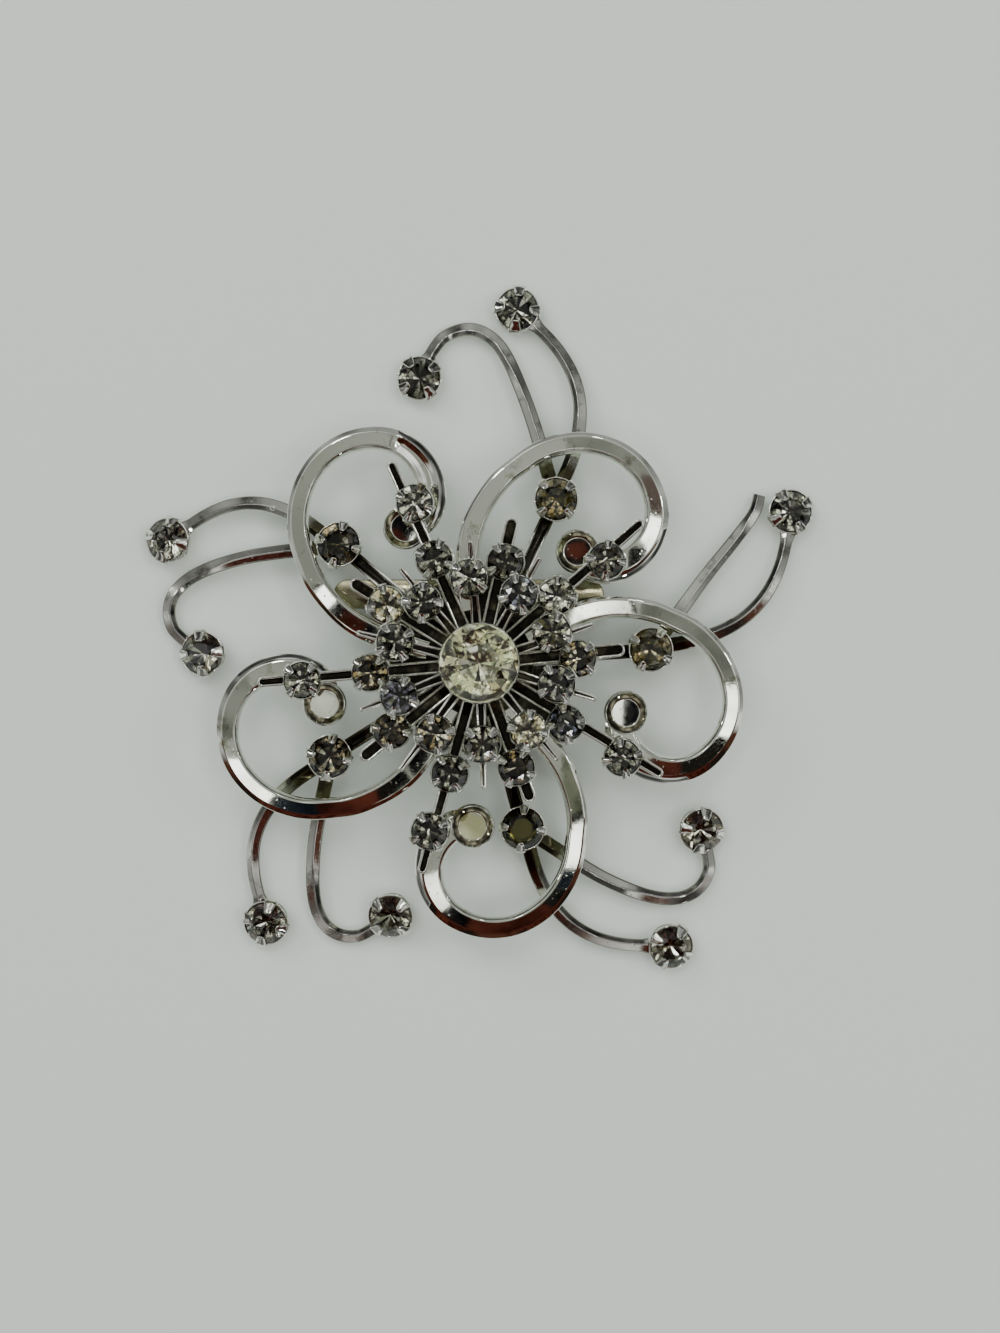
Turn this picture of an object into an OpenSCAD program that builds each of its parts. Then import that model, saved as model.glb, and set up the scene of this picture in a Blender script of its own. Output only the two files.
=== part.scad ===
/* [Stones] */
// Radius of the centre stone
centre_stone_r = 4.05; // [3.9:0.05:4.1]
// Radius of each stone in the two rings
ring_stone_r = 1.85; // [1.7:0.05:1.85]
// Radius of each stone at a fork or at the end of a wire
end_stone_r = 2.2; // [2:0.05:2.25]
// Depth under the girdle, as a share of the radius
pavilion_share = 0.72; // [0.6:0.02:0.8]
// Height over the girdle, as a share of the radius
crown_share = 0.38; // [0.3:0.02:0.4]
// Radius of the table, as a share of the stone's radius
table_share = 0.55; // [0.5:0.01:0.6]
// Thickness of the girdle
girdle_t = 0.12; // [0.1:0.01:0.2]

/* [Cups] */
// Thickness of a cup's rim, outside the stone
cup_wall = 0.22; // [0.2:0.01:0.25]
// Clearance between a stone and its cup
stone_gap = 0.06; // [0.05:0.01:0.08]
// Height of the stone's point over the cup's underside
culet_z = 0.45; // [0.4:0.05:0.6]
// Width of a prong at the rim
prong_w = 1.35; // [1:0.05:1.4]
// How far a prong stands out from the stone
prong_out = 0.46; // [0.4:0.02:0.5]

/* [Base plate] */
// Height of the plate's underside over the table
plate_z = 3.8; // [3.8:0.05:4]
// Thickness of the plate
plate_t = 1.1; // [1:0.05:1.1]
// Radius of the plate
plate_r = 9.8; // [9:0.1:10]
// Radius of the boss that carries the lower star
boss_r = 3.0; // [2.8:0.1:3]

/* [Sprays] */
// Width of a stem
stem_w = 1.5; // [1.3:0.1:1.6]
// Thickness of a stem
stem_t = 0.8; // [0.7:0.05:0.8]
// Width of a wire where it leaves the fork
wire_w = 1.6; // [1.4:0.05:1.6]
// Width of a wire at its end
wire_end_w = 1.3; // [1.1:0.05:1.4]
// Thickness of a wire
wire_t = 1.0; // [0.8:0.05:1.1]
// Height of a fork cup's underside
fork_z = 2.6; // [2.5:0.05:2.6]

/* [Petals] */
// Height of a petal's underside
petal_z = 5.8; // [5.8:0.05:5.8]
// Thickness of the ribbon
petal_t = 1.1; // [1:0.05:1.1]
// Width of the steep bevel along the inner edge
inner_bevel_w = 0.4; // [0.3:0.05:0.5]
// Drop of the bevel along the outer edge
bevel_drop = 0.3; // [0.2:0.05:0.4]
// Depth of the trough where the ribbon curls in
trough_depth = 0.4; // [0.2:0.05:0.5]
// Radius of the dish at the petal's end
dish_r = 2.4; // [2.2:0.05:2.5]
// Depth of the dish
dish_depth = 0.55; // [0.4:0.05:0.7]

/* [Lower star] */
// Height of the star's underside
lower_z = 6.95; // [6.95:0.05:7.1]
// Radius of the star's hub
lower_hub_r = 5.8; // [5.5:0.1:6]
// Width of a ray
lower_ray_w = 1.5; // [1.3:0.1:1.6]
// Width of a long ray at its tip
lower_tip_w = 1.1; // [0.9:0.1:1.2]
// Slope of the rays, upwards from the hub
lower_slope = 3.3; // [3.2:0.1:3.4]

/* [Upper star] */
// Height of the star's underside
upper_z = 9.2; // [9.2:0.05:9.4]
// Radius of the star's hub
upper_hub_r = 4.2; // [4:0.1:4.4]
// Width of a ray
upper_ray_w = 1.2; // [1:0.1:1.3]
// Width of a ray at its pointed tip
upper_tip_w = 0.6; // [0.5:0.05:0.8]
// Slope of the rays, upwards from the hub
upper_slope = 8; // [8:0.1:8.4]

/* [Centre cup] */
// Height of the cup's underside over the upper star's hub
centre_lift = 1.4; // [1.2:0.1:1.6]
// Radius of the post under the cup
centre_post_r = 2.2; // [2:0.1:2.4]

/* [Pin back] */
// Length of the bar
bar_l = 29.4; // [29:0.1:29.8]
// Width of the bar
bar_w = 3.2; // [3:0.1:3.2]
// Thickness of the bar
bar_t = 0.7; // [0.6:0.05:0.7]
// Distance of the bar from the middle of the flower
bar_y = 7.5; // [7.2:0.1:7.5]
// Diameter of the pin stem
pin_d = 0.85; // [0.8:0.05:0.9]
// Height of the pin stem's middle
pin_z = 1.8; // [1.7:0.05:1.9]

/* [Hidden] */

silver = "silver";
smoky = [0.45, 0.44, 0.38];
clear = [0.8, 0.82, 0.84];

// Middle of the flower, seen from the middle of the whole outline
hub_at = [0.1, -3.9, 0];
// Gap between two layers that lie on each other
seat_gap = 0.05;
// Half length of the overlap where a wire runs into a cup
bite = 0.3;

// Distances and angles are seen from the middle of the flower.
// Columns: stone distance, stone angle, tip distance, tip angle
upper_rays = [
    [9.1, 97, 13.2, 94.5],
    [8.4, 60, 13.1, 60],
    [8.4, 23, 13.0, 18.5],
    [8.5, -15, 13.2, -17],
    [8.8, -54, 13.4, -51],
    [8.6, -88, 13.5, -88],
    [8.9, -122, 14.4, -126.5],
    [9.2, -157.5, 13.8, -158.5],
    [9.2, 166, 13.6, 166],
    [8.8, 133, 13.3, 130]];

// Columns: stone distance, stone angle, tip distance, tip angle, then the
// distance and angle of the second stone, 0 on a short ray
lower_rays = [
    [12.1, 113.5, 23.6, 114, 18.4, 112],
    [11.1, 75.5, 16.0, 77, 0, 0],
    [10.9, 41, 23.2, 41, 17.4, 39],
    [10.5, 2.5, 15.7, 5.5, 0, 0],
    [11.2, -35, 23.0, -31.5, 18.3, -33.5],
    [11.8, -70.5, 15.9, -69.5, 0, 0],
    [12.2, -105, 23.4, -105.5, 18.7, -106.5],
    [11.8, -142.5, 16.4, -141, 0, 0],
    [11.7, -175, 23.9, -175, 19.0, -174.5],
    [11.7, 148, 16.4, 147.5, 0, 0]];

// Columns: fork distance, fork angle, bowed wire's end distance and angle,
// curled wire's end distance and angle, turn of the fork's prongs, spread of the bow
// and of the curl
sprays = [
    [20.0, 140, 36.4, 158.5, 30.1, 178, 75, 1, 1],
    [19.6, 65, 38.8, 84, 31.8, 102, 42, 0.94, 1.09],
    [18.6, 4.5, 37.7, 26, 35.7, 31, 60, 0.94, 1],
    [18.5, -75.5, 37.1, -56, 30.1, -37, 85, 1, 1],
    [19.2, -148, 36.5, -129.5, 29.0, -109.5, 80, 1, 1.03]];
BOWED = 2;
CURLED = 4;
BROKEN_SPRAY = 3;

// Columns: spray, wire, outward tilt of the cup, turn of the prongs
ends = [
    [1, BOWED, 14, 75],
    [1, CURLED, 12, 95],
    [2, BOWED, 3, 84],
    [2, CURLED, 2, 34],
    [3, BOWED, 4, 28],
    [4, BOWED, 12, 60],
    [4, CURLED, 12, 80],
    [5, BOWED, 12, 75],
    [5, CURLED, 14, 45]];

// Courses of the wires, in lengths of the line from fork to end
// Columns: along that line, and to its left
bowed_course = [
    [0.085, -0.055], [0.20, -0.135], [0.32, -0.195], [0.44, -0.23],
    [0.56, -0.235], [0.68, -0.21], [0.80, -0.155], [0.925, -0.07]];
curled_course = [
    [0.085, -0.05], [0.20, -0.125], [0.32, -0.20], [0.44, -0.27],
    [0.57, -0.33], [0.70, -0.375], [0.82, -0.395], [0.93, -0.38],
    [1.01, -0.325], [1.055, -0.235], [1.05, -0.15], [1.035, -0.095]];
broken_course = [
    [0.08, -0.005], [0.28, -0.01], [0.50, -0.015], [0.75, -0.03],
    [0.91, -0.03], [1, 0]];

// Columns: direction of the loop's middle, its distance, its shift to the left
petals = [
    [125.5, 20.5, 0.2],
    [52.5, 19.9, 1.1],
    [-8.5, 20.3, -0.8],
    [-80.5, 21.1, -1.5],
    [-159.5, 21.1, 0.4]];

// The ribbon, seen from the loop's middle with the flower's middle at 180
// Columns: angle, inner radius, outer radius, width of the outer bevel, share of the trough
ribbon = [
    [170, 15.7, 18.4, 0.35, 0], [160, 13.5, 16.3, 0.35, 0], [150, 12.2, 15.0, 0.35, 0],
    [135, 10.6, 13.4, 0.35, 0], [120, 9.2, 11.8, 0.36, 0], [105, 8.1, 10.6, 0.38, 0],
    [90, 7.2, 9.6, 0.40, 0], [60, 6.4, 8.7, 0.42, 0], [30, 6.1, 8.4, 0.45, 0],
    [0, 6.2, 8.5, 0.50, 0], [-30, 6.4, 8.8, 0.56, 0], [-57, 6.5, 9.15, 0.65, 0],
    [-64, 6.5, 9.2, 0.68, 1], [-90, 6.0, 9.1, 0.75, 1], [-120, 4.8, 8.5, 0.8, 1],
    [-140, 3.7, 7.6, 0.75, 0.8], [-152, 3.0, 6.7, 0.6, 0.4]];
// Middle of the dish, seen from the loop's middle
dish_at = [-3.95, -2.15];

plate_top = plate_z + plate_t;
stem_z = plate_top + seat_gap + stem_t / 2;
boss_top = lower_z - seat_gap;
lower_hub_t = 0.65;
upper_hub_t = 0.6;
ray_t = 0.9;
upper_ray_t = 0.7;
ray_wall = 0.25;
ray_floor = 0.25;
// Distance of the rays' inner ends
lower_start = 3.2;
upper_start = 2.6;
centre_seat = upper_z + upper_hub_t + seat_gap;
centre_z = centre_seat + centre_lift;

function polar(r, a) = [r * cos(a), r * sin(a)];
function mix(a, b, t) = a + (b - a) * t;
function ease(t) = let (u = min(max(t, 0), 1)) u * u * (3 - 2 * u);
function girdle_z(r) = culet_z + pavilion_share * r;
function table_z(r) = girdle_z(r) + girdle_t + crown_share * r;
function foot_r(r) = 0.8 * (r + cup_wall);
function lower_seat(d) = lower_z + (d - lower_start) * tan(lower_slope) + ray_floor;
function upper_seat(d) = upper_z + (d - upper_start) * tan(upper_slope) + ray_floor;
function fork_at(i) = polar(sprays[i - 1][0], sprays[i - 1][1]);
function wire_end(i, wire) = polar(sprays[i - 1][wire], sprays[i - 1][wire + 1]);

// A smooth curve through the points of a table, with n steps between two of them
function curve_at(p, k, t) =
    let (a = p[max(k - 1, 0)], b = p[k], c = p[k + 1], d = p[min(k + 2, len(p) - 1)])
    (2 * b + (c - a) * t + (2 * a - 5 * b + 4 * c - d) * t * t
        + (3 * b - a - 3 * c + d) * t * t * t) / 2;
function smooth(p, n) = concat(
    [for (k = [0:len(p) - 2], j = [0:n - 1]) curve_at(p, k, j / n)],
    [p[len(p) - 1]]);

function heading(path, i) =
    let (a = path[max(i - 1, 0)], b = path[min(i + 1, len(path) - 1)])
    atan2(b.y - a.y, b.x - a.x);

// Faces of a bar made of n rings of m points each, closed at both ends
function bar_faces(n, m) = concat(
    [[for (j = [0:m - 1]) j]],
    [for (i = [0:n - 2], j = [0:m - 1]) let (k = (j + 1) % m)
        each [[i * m + k, i * m + j, (i + 1) * m + j],
              [i * m + k, (i + 1) * m + j, (i + 1) * m + k]]],
    [[for (j = [m - 1:-1:0]) (n - 1) * m + j]]);

// Sweeps sections, in half widths and half heights, along a path in space
module sweep(path, sections, widths, t) {
    rings = [for (i = [0:len(path) - 1]) let (h = heading(path, i), w = widths[i] / 2)
        for (s = sections[i])
            path[i] + [-s.x * w * sin(h), s.x * w * cos(h), s.y * t / 2]];
    polyhedron(rings, bar_faces(len(path), len(sections[0])));
}

// Bevelled wire with a ridge; its broad facet lies outside the bend at 1 and inside it at 0
function wire_section(broad) =
    let (ridge = mix(-0.32, 0.32, broad), outer = mix(-0.35, 0.3, broad))
    [[-0.9, -1], [0.9, -1], [1, -0.05 - outer], [ridge, 1], [-1, outer]];

function facet_ring(n, turn, r, z) = [for (k = [0:n - 1])
    [r * cos(360 * k / n + turn), r * sin(360 * k / n + turn), z]];

// Brilliant cut: table, eight star, eight kite and sixteen half facets over the
// girdle, sixteen facets down to the culet
module cut_stone(r) {
    g = girdle_z(r);
    kite_r = 0.78;
    kite_z = g + girdle_t + crown_share * r * (1 - kite_r * cos(22.5)) / (1 - table_share);
    points = concat([[0, 0, culet_z]],
        facet_ring(16, 0, r, g), facet_ring(16, 0, r, g + girdle_t),
        facet_ring(8, 22.5, kite_r * r, kite_z), facet_ring(8, 0, table_share * r, table_z(r)));
    faces = concat(
        [for (k = [0:15]) [0, 1 + k, 1 + (k + 1) % 16]],
        [for (k = [0:15]) let (n = (k + 1) % 16) [1 + k, 17 + k, 17 + n, 1 + n]],
        [for (k = [0:7]) let (n = (k + 1) % 8, g = 17 + 2 * k, h = 17 + 2 * n, m = 33 + k)
            each [[g, m, g + 1], [g + 1, m, h], [41 + k, 41 + n, m]]],
        [for (k = [0:7]) let (p = (k + 7) % 8)
            each [[17 + 2 * k, 33 + p, 41 + k], [17 + 2 * k, 41 + k, 33 + k]]],
        [[for (k = [7:-1:0]) 41 + k]]);
    polyhedron(points, faces);
}

// Outside of a cup; its pocket is cut once the cup is on its ray or wire
module cup_body(r) {
    cylinder(girdle_z(r), r1 = foot_r(r), r2 = r + stone_gap + cup_wall, $fn = 48);
}

module pocket(r) {
    rotate_extrude($fn = 48)
        polygon([[0, culet_z - 0.1], [r / 2, culet_z - 0.1], [r + stone_gap, girdle_z(r)],
            [r + stone_gap, table_z(r)], [0, table_z(r)]]);
}

// Four prongs, each a plate outside the rim that leans in over the crown and narrows
module prongs(r) {
    g = girdle_z(r) + girdle_t;
    w = prong_w * (r < 2 ? 0.72 : 1);
    reach = r < 2 ? 0.65 : 0.85;
    lean = crown_share / (1 - table_share);
    for (k = [0:3]) rotate(90 * k) intersection() {
        rotate([90, 0, 0]) linear_extrude(w, center = true)
            polygon([[r + 0.14, g - 0.04], [r + 0.2, g - 0.7], [r + prong_out, g - 0.7],
                [r + prong_out, g + 0.05], [r + 0.25, g + 0.3], [r - reach, g + lean * reach + 0.2],
                [r - reach, g + lean * reach + 0.08]]);
        translate([0, 0, g - 1]) linear_extrude(2.2)
            polygon([[r + prong_out + 0.1, -w], [r + prong_out + 0.1, w], [r + 0.3, w / 2],
                [r - reach, w / 4.5], [r - reach, -w / 4.5], [r + 0.3, -w / 2]]);
    }
}

// Places of the cups and of their stones
module at_upper(i) {
    row = upper_rays[i - 1];
    translate([each polar(row[0], row[1]), upper_seat(row[0])]) rotate(row[1] + 45) children();
}

module at_lower(i) {
    row = lower_rays[i - 1];
    translate([each polar(row[0], row[1]), lower_seat(row[0])]) rotate(row[1] + 45) children();
}

module at_spoke(i) {
    row = lower_rays[2 * i - 2];
    translate([each polar(row[4], row[5]), lower_seat(row[4])]) rotate(row[5] + 45) children();
}

module at_fork(i) {
    translate([each fork_at(i), fork_z]) rotate(sprays[i - 1][6]) children();
}

// A tilted cup stands on the outer edge of its foot
module at_end(k) {
    row = ends[k - 1];
    p = wire_end(row[0], row[1]);
    out = sprays[row[0] - 1][row[1] + 1];
    f = foot_r(end_stone_r);
    lean = girdle_z(end_stone_r) * sin(row[2]) / 2;
    translate([each p, 0]) rotate(out) translate([f - lean, 0, 0]) rotate([0, row[2], 0])
        translate([-f, 0, 0]) rotate(row[3] - out) children();
}

// Outline of a bar from a to b with rounded ends, w wide at a and tip_w at b
function bar_outline(a, b, w, tip_w) = concat(
    [for (k = [0:4]) [a, 0] + polar(w / 2, 90 + 45 * k)],
    [for (k = [0:4]) [b, 0] + polar(tip_w / 2, -90 + 45 * k)]);

// A channel with a raised rim that runs from a to b and rises from its inner end
module ray(a, b, w, tip_w, t, slope) {
    inner = w / 2;
    outer = b - a - tip_w / 2;
    translate([a, 0, 0]) rotate([0, -slope, 0]) difference() {
        linear_extrude(t) polygon(bar_outline(inner, outer, w, tip_w));
        translate([0, 0, ray_floor]) linear_extrude(t)
            polygon(bar_outline(inner, outer, w - 2 * ray_wall, max(tip_w - 2 * ray_wall, 0.15)));
    }
}

module base_plate() {
    color(silver) {
        translate([0, 0, plate_z]) cylinder(plate_t, r = plate_r, $fn = 96);
        translate([0, 0, plate_z]) cylinder(boss_top - plate_z, r = boss_r, $fn = 48);
    }
}

// Bar, knuckle, catch and pin stem in one plain piece
module pin_back() {
    left = -15.9;
    bar_z = plate_z - seat_gap - bar_t;
    knuckle = left + 1.8;
    catch = left + bar_l - 2.2;
    pin_l = catch + 1.6 - knuckle;
    color(silver) {
        translate([left + bar_w / 2, bar_y - bar_w / 2, bar_z])
            cube([bar_l - bar_w, bar_w, bar_t]);
        for (x = [left + bar_w / 2, left + bar_l - bar_w / 2])
            translate([x, bar_y, bar_z]) cylinder(bar_t, d = bar_w, $fn = 48);
        translate([knuckle - 0.8, bar_y - 1.1, pin_z]) cube([1.6, 2.2, bar_z + 0.1 - pin_z]);
        translate([knuckle, bar_y + 1.1, pin_z]) rotate([90, 0, 0])
            cylinder(2.2, r = 0.8, $fn = 32);
        translate([knuckle, bar_y, pin_z]) rotate([0, 90, 0])
            cylinder(pin_l, d = pin_d, $fn = 24);
        translate([catch - 1, bar_y - 0.5, pin_z]) cube([2, 1, bar_z + 0.1 - pin_z]);
        translate([catch - 1, bar_y, pin_z]) rotate([0, 90, 0])
            cylinder(2, r = 1.05, $fn = 32);
    }
}

module spray(i) {
    channel = [[-1, -1], [1, -1], [1, 1], [0.72, 1], [0.5, 0], [-0.5, 0], [-0.72, 1], [-1, 1]];
    row = sprays[i - 1];
    fork = fork_at(i);
    fork_wire_z = fork_z + 0.75;
    end_wire_z = 1.45;
    // Columns: wire, course, share of the broad facet outside the bend at the fork and at
    // the end, place of the twist
    wires = [
        [BOWED, bowed_course, i == 5 ? 0 : 1, i == 5 ? 0 : 1, 0.5],
        i == BROKEN_SPRAY ? [CURLED, broken_course, 0.15, 1, 0.7] : [CURLED, curled_course, 0, 1, 0.42]];
    mine = [for (k = [1:len(ends)]) if (ends[k - 1][0] == i) k];
    stem = [[boss_r + 0.1, stem_z], [plate_r, stem_z],
        [row[0] - foot_r(end_stone_r) - 0.4, fork_wire_z + 0.3],
        [row[0] - foot_r(end_stone_r) + bite, fork_wire_z]];
    color(silver) {
        difference() {
            union() {
                sweep([for (s = stem) [each polar(s.x, row[1]), s.y]], [for (s = stem) channel],
                    [for (s = stem) stem_w], stem_t);
                for (w = wires) {
                    line = wire_end(i, w[0]) - fork;
                    left = [-line.y, line.x];
                    path = smooth([for (c = w[1])
                        let (spread = w[0] == BOWED ? row[7] : mix(1, row[8], ease(2 * c.x - 0.8)))
                        [each fork + c.x * line + c.y * spread * left,
                            mix(fork_wire_z, end_wire_z, c.x)]], 3);
                    last = len(path) - 1;
                    sweep(path, [for (k = [0:last])
                        wire_section(mix(w[2], w[3], ease((k / last - w[4]) / 0.16 + 0.5)))],
                        [for (k = [0:last]) mix(wire_w, wire_end_w, k / last)], wire_t);
                }
                at_fork(i) cup_body(end_stone_r);
                for (k = mine) at_end(k) cup_body(end_stone_r);
            }
            at_fork(i) pocket(end_stone_r);
            for (k = mine) at_end(k) pocket(end_stone_r);
        }
        at_fork(i) prongs(end_stone_r);
        for (k = mine) at_end(k) prongs(end_stone_r);
    }
}

module petal(i) {
    row = petals[i - 1];
    path = smooth(ribbon, 3);
    // Both bevels, and a trough between them on the curled part
    rings = [for (s = path)
        let (a = s[1] + inner_bevel_w, b = s[2] - s[3], trough = petal_t - trough_depth * max(s[4], 0))
        for (q = [[s[1], 0], [s[2], 0], [s[2], petal_t - bevel_drop], [b, petal_t],
                [mix(a, b, 0.6), trough], [mix(a, b, 0.4), trough], [a, petal_t], [s[1], petal_t - 0.6]])
            [each polar(q.x, s[0]), q.y]];
    color(silver)
        rotate(row[0]) translate([row[1], row[2], petal_z]) difference() {
            union() {
                polyhedron(rings, bar_faces(len(path), 8));
                translate([each dish_at, 0]) cylinder(petal_t + 0.12, r = dish_r, $fn = 48);
            }
            translate([each dish_at, petal_t + 0.12 - dish_depth])
                cylinder(dish_depth + 0.1, r1 = dish_r - 1.2, r2 = dish_r - 0.15, $fn = 48);
        }
}

module lower_star() {
    color(silver) {
        difference() {
            union() {
                translate([0, 0, lower_z]) cylinder(lower_hub_t, r = lower_hub_r, $fn = 96);
                for (row = lower_rays)
                    translate([0, 0, lower_z]) rotate(row[3])
                        ray(lower_start, row[2], lower_ray_w,
                            row[4] > 0 ? lower_tip_w : lower_ray_w, ray_t, lower_slope);
                for (i = [1:10]) at_lower(i) cup_body(ring_stone_r);
                for (i = [1:5]) at_spoke(i) cup_body(ring_stone_r);
            }
            for (i = [1:10]) at_lower(i) pocket(ring_stone_r);
            for (i = [1:5]) at_spoke(i) pocket(ring_stone_r);
        }
        for (i = [1:10]) at_lower(i) prongs(ring_stone_r);
        for (i = [1:5]) at_spoke(i) prongs(ring_stone_r);
    }
}

module upper_star() {
    spacer_z = lower_z + lower_hub_t + seat_gap;
    color(silver) {
        difference() {
            union() {
                translate([0, 0, spacer_z])
                    cylinder(upper_z - spacer_z + 0.1, r = 2.4, $fn = 48);
                translate([0, 0, upper_z]) cylinder(upper_hub_t, r = upper_hub_r, $fn = 96);
                for (row = upper_rays)
                    translate([0, 0, upper_z]) rotate(row[3])
                        ray(upper_start, row[2], upper_ray_w, upper_tip_w, upper_ray_t,
                            upper_slope);
                for (i = [1:10]) at_upper(i) cup_body(ring_stone_r);
            }
            for (i = [1:10]) at_upper(i) pocket(ring_stone_r);
        }
        for (i = [1:10]) at_upper(i) prongs(ring_stone_r);
    }
}

module centre_cup() {
    color(silver) {
        translate([0, 0, centre_seat]) cylinder(centre_lift + 0.1, r = centre_post_r, $fn = 48);
        translate([0, 0, centre_z]) rotate(35) difference() {
            cup_body(centre_stone_r);
            pocket(centre_stone_r);
        }
    }
}

module place() translate(hub_at) children();

place() base_plate();
place() pin_back();
for (i = [1:5]) {
    place() spray(i);
    place() petal(i);
}
place() lower_star();
place() upper_star();
place() centre_cup();
place() translate([0, 0, centre_z]) rotate(35) color(clear) cut_stone(centre_stone_r);  // centre_stone
for (i = [1:10]) {
    place() at_upper(i) color(clear) cut_stone(ring_stone_r);
    place() at_lower(i) color(clear) cut_stone(ring_stone_r);
}
for (i = [1:5]) {
    place() at_spoke(i) color(clear) cut_stone(ring_stone_r);
    place() at_fork(i) color(smoky) cut_stone(end_stone_r);
}
for (k = [1:9])
    place() at_end(k) color(smoky) cut_stone(end_stone_r);
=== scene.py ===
import math
import random

import bmesh
import bpy
from mathutils import Matrix, Vector


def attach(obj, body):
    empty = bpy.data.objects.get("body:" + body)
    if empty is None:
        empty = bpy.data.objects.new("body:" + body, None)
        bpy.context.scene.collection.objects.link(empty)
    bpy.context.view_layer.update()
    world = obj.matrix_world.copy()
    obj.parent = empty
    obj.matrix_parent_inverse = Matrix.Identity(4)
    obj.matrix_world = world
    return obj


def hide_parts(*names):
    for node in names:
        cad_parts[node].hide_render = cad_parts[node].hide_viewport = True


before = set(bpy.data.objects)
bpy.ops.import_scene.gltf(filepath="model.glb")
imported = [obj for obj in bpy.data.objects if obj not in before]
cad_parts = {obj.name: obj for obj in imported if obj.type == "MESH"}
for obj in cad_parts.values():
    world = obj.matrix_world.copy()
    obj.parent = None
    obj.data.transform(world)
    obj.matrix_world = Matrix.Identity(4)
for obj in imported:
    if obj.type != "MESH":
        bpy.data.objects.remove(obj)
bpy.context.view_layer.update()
print("frame loaded,", len(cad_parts), "solids")

mm = 0.001
hub = Vector((0.1, -3.9, 0))  # middle of the flower; shapes are in millimetres until addPiece


# helpers for shapes

shift = Matrix.Translation


def rotation(axis, angle):
    return Matrix.Rotation(math.radians(angle), 4, axis)


def polar(radius, angle):
    return Vector((radius * math.cos(math.radians(angle)), radius * math.sin(math.radians(angle)), 0))


def up(height):
    return Vector((0, 0, height))


def mix(a, b, t):
    return a + (b - a) * t


def ease(t):
    t = min(max(t, 0), 1)
    return t * t * (3 - 2 * t)


def smoothRows(rows, steps):
    # a smooth curve through all rows
    out, last = [], len(rows) - 1
    for k in range(last):
        near = rows[max(k - 1, 0)], rows[k], rows[k + 1], rows[min(k + 2, last)]
        for j in range(steps):
            t = j / steps
            out.append([(2 * b + (c - a) * t + (2 * a - 5 * b + 4 * c - d) * t * t
                         + (3 * b - a - 3 * c + d) * t ** 3) / 2 for a, b, c, d in zip(*near)])
    out.append(list(rows[-1]))
    return out


def roundEnds(start, end, startRadius, endRadius, arc):
    # a long outline with two round ends of so many points, and the middle that belongs to each point
    turns = [180 * k / (arc - 1) for k in range(arc)]
    outline = [start + polar(startRadius, 90 + turn) for turn in turns] \
        + [end + polar(endRadius, -90 + turn) for turn in turns]
    return outline, [start] * arc + [end] * arc


def newShape():
    return {"points": [], "faces": [], "skins": []}


def addSkin(shape, points, faces, skin=0, place=None):
    # skin is one number for all the faces, or a list with one for each
    start = len(shape["points"])
    shape["points"] += [place @ Vector(p) if place else Vector(p) for p in points]
    shape["faces"] += [[start + i for i in face] for face in faces]
    shape["skins"] += skin if isinstance(skin, list) else [skin] * len(faces)


def addCap(shape, ring, skin=0, place=None, first=False):
    # closes one end of a tube; the face of its first ring is turned round
    face = list(range(len(ring)))
    addSkin(shape, ring, [face[::-1] if first else face], skin, place)


def addRings(shape, rings, skin=0, place=None, capped=True):
    # joins rings of points into a tube; skin may be a function of the place around the ring
    count = len(rings[0])
    points = [p for ring in rings for p in ring]
    faces, skins = [], []
    for i in range(len(rings) - 1):
        for j in range(count):
            k = (j + 1) % count
            faces.append([i * count + j, i * count + k, (i + 1) * count + k, (i + 1) * count + j])
            skins.append(skin(j) if callable(skin) else skin)
    if capped:
        end = (len(rings) - 1) * count
        faces += [list(range(count - 1, -1, -1)), [end + j for j in range(count)]]
        skins += [skin(0) if callable(skin) else skin] * 2
    addSkin(shape, points, faces, skins, place)


def addLathe(shape, profile, sides=40, skin=0, place=None, squash=1.0):
    # turns a profile of (radius, height) round Z
    count = len(profile)
    points, faces = [], []
    for i in range(sides):
        turn, n = 2 * math.pi * i / sides, (i + 1) % sides
        points += [Vector((r * math.cos(turn), r * math.sin(turn) * squash, z)) for r, z in profile]
        faces += [[i * count + j, n * count + j, n * count + j + 1, i * count + j + 1] for j in range(count - 1)]
    addSkin(shape, points, faces, skin, place)


def addPiece(shape, name, skins, nodes, sharp=30, flat=False):
    mesh = bpy.data.meshes.new(name)
    mesh.from_pydata([(p + hub) * mm for p in shape["points"]], [], shape["faces"])
    for skin in skins:
        mesh.materials.append(skin)
    for polygon, skin in zip(mesh.polygons, shape["skins"]):
        polygon.material_index = skin
    work = bmesh.new()
    work.from_mesh(mesh)
    bmesh.ops.remove_doubles(work, verts=work.verts, dist=1e-7)
    bmesh.ops.recalc_face_normals(work, faces=work.faces)
    work.to_mesh(mesh)
    work.free()
    if not flat:
        mesh.shade_smooth()
        mesh.set_sharp_from_angle(angle=math.radians(sharp))
    piece = bpy.data.objects.new(name, mesh)
    bpy.context.scene.collection.objects.link(piece)
    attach(piece, "root")
    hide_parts(*nodes)


# helpers for finishes

def feed(tree, socket, value):
    # links another node's output, or sets a number or colour
    if isinstance(value, bpy.types.NodeSocket):
        tree.links.new(value, socket)
    else:
        socket.default_value = value


def addNode(tree, kind, *feeds, **settings):
    # feeds go to the node's sockets in their order, settings to its properties or its sockets by name
    node = tree.nodes.new(kind)
    for key, value in settings.items():
        if hasattr(node, key):
            setattr(node, key, value)
        else:
            feed(tree, node.inputs[key], value)
    for socket, value in zip(node.inputs, feeds):
        feed(tree, socket, value)
    return node


def addNoise(tree, place, scale, detail, roughness=0.5):
    return addNode(tree, "ShaderNodeTexNoise", Vector=place, Scale=scale, Detail=detail,
                   Roughness=roughness).outputs["Fac"]


def addRange(tree, source, low, high, toLow=0.0, toHigh=1.0):
    return addNode(tree, "ShaderNodeMapRange", source, low, high, toLow, toHigh).outputs["Result"]


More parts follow.
